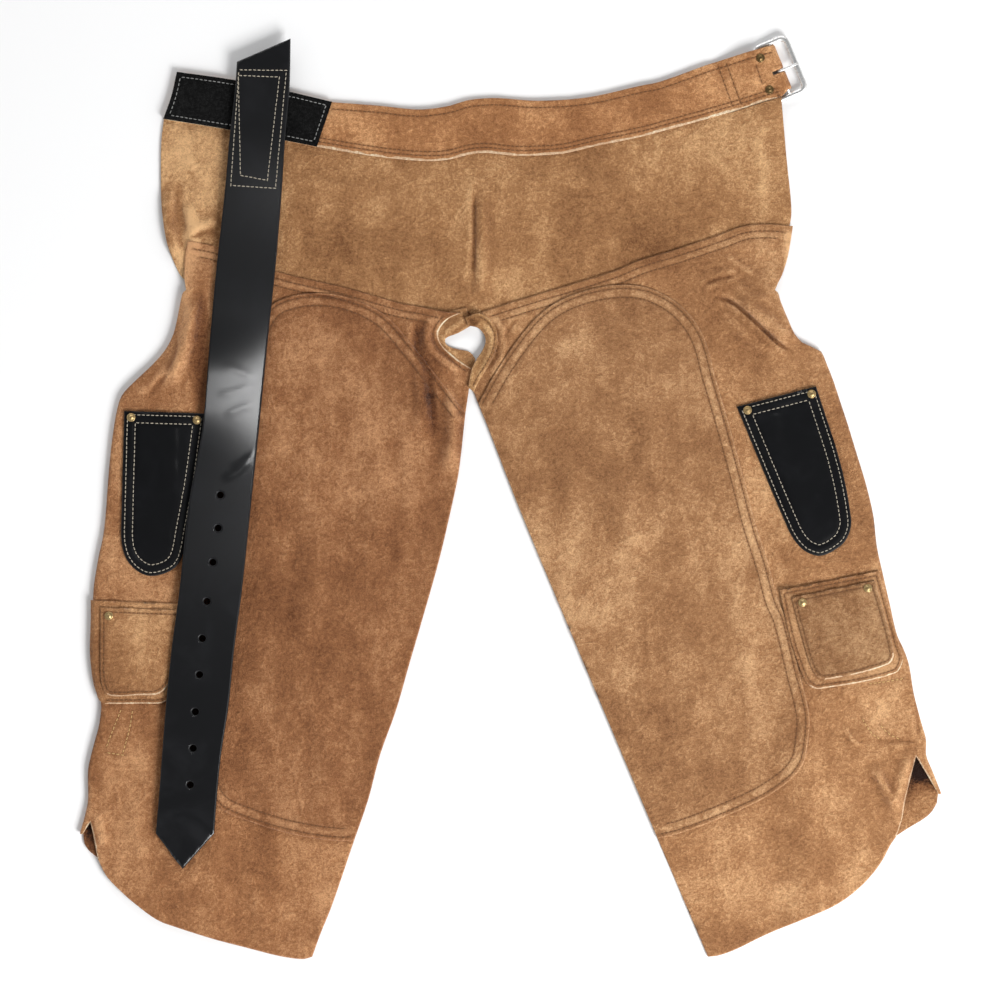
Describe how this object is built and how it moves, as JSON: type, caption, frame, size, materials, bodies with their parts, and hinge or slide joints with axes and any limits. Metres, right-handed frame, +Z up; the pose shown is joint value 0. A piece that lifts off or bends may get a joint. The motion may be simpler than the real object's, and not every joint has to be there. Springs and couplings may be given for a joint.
{
  "type": "farrier apron",
  "caption": "Split-leg suede apron laid flat, with waistband and buckle, long black belt strap, thigh patches, knife pockets and suede pockets.",
  "frame": {"origin": "on the floor, under the middle of the laid-out apron", "axes": "+Z up, +Y towards the waist, +X towards the buckle's side"},
  "size_m": [0.7844, 0.8396, 0.0135],
  "materials": {
    "suede": "napped suede",
    "black_leather": "glossy",
    "hook_and_loop": "woven tape with loops or hooks",
    "brass": "antique",
    "silver": "plated"
  },
  "bodies": {
    "apron": {"yoke": "suede", "waistband": "suede", "left_leg": "suede", "right_leg": "suede", "left_thigh_patch": "suede", "right_thigh_patch": "suede", "left_crotch_binding": "suede", "right_crotch_binding": "suede", "left_suede_pocket": "suede", "left_suede_pocket_top": "suede", "right_suede_pocket": "suede", "right_suede_pocket_top": "suede", "left_leg_strap": "suede", "right_leg_strap": "suede", "left_knife_pocket": "black_leather", "right_knife_pocket": "black_leather", "belt_strap": "black_leather", "loop_pad": "hook_and_loop", "hook_tape": "hook_and_loop", "waist_rivet_upper": "brass", "waist_rivet_lower": "brass", "left_knife_rivet_outer": "brass", "left_knife_rivet_inner": "brass", "right_knife_rivet_inner": "brass", "right_knife_rivet_outer": "brass", "left_pocket_rivet": "brass", "right_pocket_rivet_inner": "brass", "right_pocket_rivet_outer": "brass"},
    "buckle": {"buckle_frame": "silver"},
    "prong": {"buckle_prong": "silver"}
  },
  "joints": [
    {"name": "buckle_swing", "type": "hinge", "parent": "apron", "child": "buckle", "pos_m": [0.2442, 0.39063, 0.004], "axis": [0.379, -0.9254, 0], "range_deg": [0, 35]},
    {"name": "prong_pivot", "type": "hinge", "parent": "buckle", "child": "prong", "pos_m": [0.2442, 0.39063, 0.004], "axis": [0.379, -0.9254, 0], "range_deg": [0, 72]}
  ]
}
